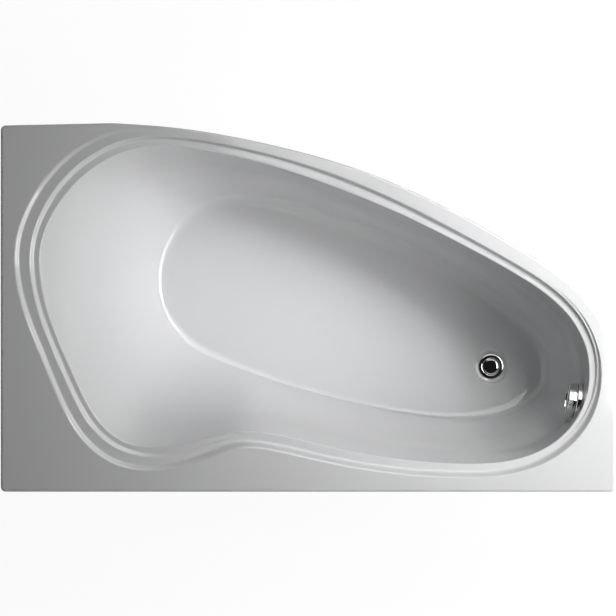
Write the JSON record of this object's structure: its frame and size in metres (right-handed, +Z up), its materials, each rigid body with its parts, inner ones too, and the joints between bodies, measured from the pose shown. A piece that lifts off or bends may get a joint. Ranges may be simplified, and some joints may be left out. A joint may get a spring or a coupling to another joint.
{
  "type": "bathtub",
  "caption": "White asymmetric acrylic corner bathtub with stepped rim, chromed plug waste, turning overflow knob, trap and adjustable feet.",
  "frame": {"origin": "on the floor under the middle of the rim's bounding rectangle", "axes": "+X along the straight wall side towards the waste end, +Y across towards the curved front, +Z up"},
  "size_m": [1.5, 0.9, 0.6],
  "materials": {
    "acrylic": "polished",
    "laminate": "rough",
    "board": "raw",
    "timber": "raw",
    "zinc_bar": "zinc plated",
    "steel": "zinc plated",
    "pad": "moulded",
    "chrome": "polished",
    "brass": "turned",
    "seal": "moulded",
    "white_plastic": "moulded",
    "black_plastic": "moulded",
    "hose": "ribbed",
    "cable": "smooth"
  },
  "bodies": {
    "tub": {"tub_shell": "acrylic", "laminate_backing": "laminate", "base_board": "board", "rim_battens": "timber", "leg_bar_head": "zinc_bar", "leg_bar_foot": "zinc_bar", "bar_screws": "steel", "foot_washers": "steel", "foot_nuts": "steel", "waste_seal_upper": "seal", "waste_flange": "chrome", "waste_seal_lower": "seal", "waste_body": "white_plastic", "lever_pin": "steel", "overflow_seal_front": "seal", "overflow_rosette": "chrome", "overflow_seal_back": "seal", "overflow_body": "white_plastic", "overflow_screws": "steel", "overflow_hose": "hose", "hose_nut_top": "white_plastic", "hose_nut_bottom": "white_plastic", "bowden_cable": "cable", "trap_bend": "white_plastic", "trap_elbow": "white_plastic", "outlet_pipe": "white_plastic", "cleaning_seal": "seal", "cleaning_plug": "white_plastic", "trap_inlet_seal": "seal", "trap_inlet_nut": "white_plastic", "trap_swivel_seal": "seal", "trap_swivel_nut": "white_plastic", "outlet_seal": "seal", "outlet_nut": "white_plastic"},
    "knob": {"overflow_knob": "chrome", "overflow_spindle": "brass"},
    "yoke": {"lift_yoke": "black_plastic"},
    "pusher": {"lift_pusher": "brass"},
    "lever": {"lift_lever": "black_plastic"},
    "plug": {"plug_cap": "chrome", "plug_seal": "seal", "plug_stem": "brass"},
    "foot_1": {"foot_rod_1": "steel", "foot_pad_1": "pad"},
    "foot_2": {"foot_rod_2": "steel", "foot_pad_2": "pad"},
    "foot_3": {"foot_rod_3": "steel", "foot_pad_3": "pad"},
    "foot_4": {"foot_rod_4": "steel", "foot_pad_4": "pad"}
  },
  "joints": [
    {"name": "knob_turn", "type": "hinge", "parent": "tub", "child": "knob", "pos_m": [0.67316, -0.23267, 0.505], "axis": [0.9848, -0.1736, 0], "range_deg": [0, 90]},
    {"name": "yoke_slide", "type": "slide", "parent": "tub", "child": "yoke", "axis": [0, 0, -1], "range_m": [0, 0.00495]},
    {"name": "pusher_slide", "type": "slide", "parent": "tub", "child": "pusher", "axis": [0.1736, 0.9848, 0], "range_m": [0, 0.00495]},
    {"name": "lever_swing", "type": "hinge", "parent": "tub", "child": "lever", "pos_m": [0.47653, -0.1745, 0.131], "axis": [0.9848, -0.1736, 0], "range_deg": [0, 26.74]},
    {"name": "plug_lift", "type": "slide", "parent": "tub", "child": "plug", "axis": [0, 0, 1], "range_m": [0, 0.009]},
    {"name": "foot_height_1", "type": "slide", "parent": "tub", "child": "foot_1", "axis": [0, 0, -1], "range_m": [-0.01, 0.02]},
    {"name": "foot_height_2", "type": "slide", "parent": "tub", "child": "foot_2", "axis": [0, 0, -1], "range_m": [-0.01, 0.02]},
    {"name": "foot_height_3", "type": "slide", "parent": "tub", "child": "foot_3", "axis": [0, 0, -1], "range_m": [-0.01, 0.02]},
    {"name": "foot_height_4", "type": "slide", "parent": "tub", "child": "foot_4", "axis": [0, 0, -1], "range_m": [-0.01, 0.02]}
  ],
  "couplings": [
    {"joint": "yoke_slide", "follows": "knob_turn", "m_per_rad": 0.0031513},
    {"joint": "pusher_slide", "follows": "knob_turn", "m_per_rad": 0.0031513},
    {"joint": "lever_swing", "follows": "knob_turn", "ratio": 0.29711},
    {"joint": "plug_lift", "follows": "knob_turn", "m_per_rad": 0.0057296}
  ]
}
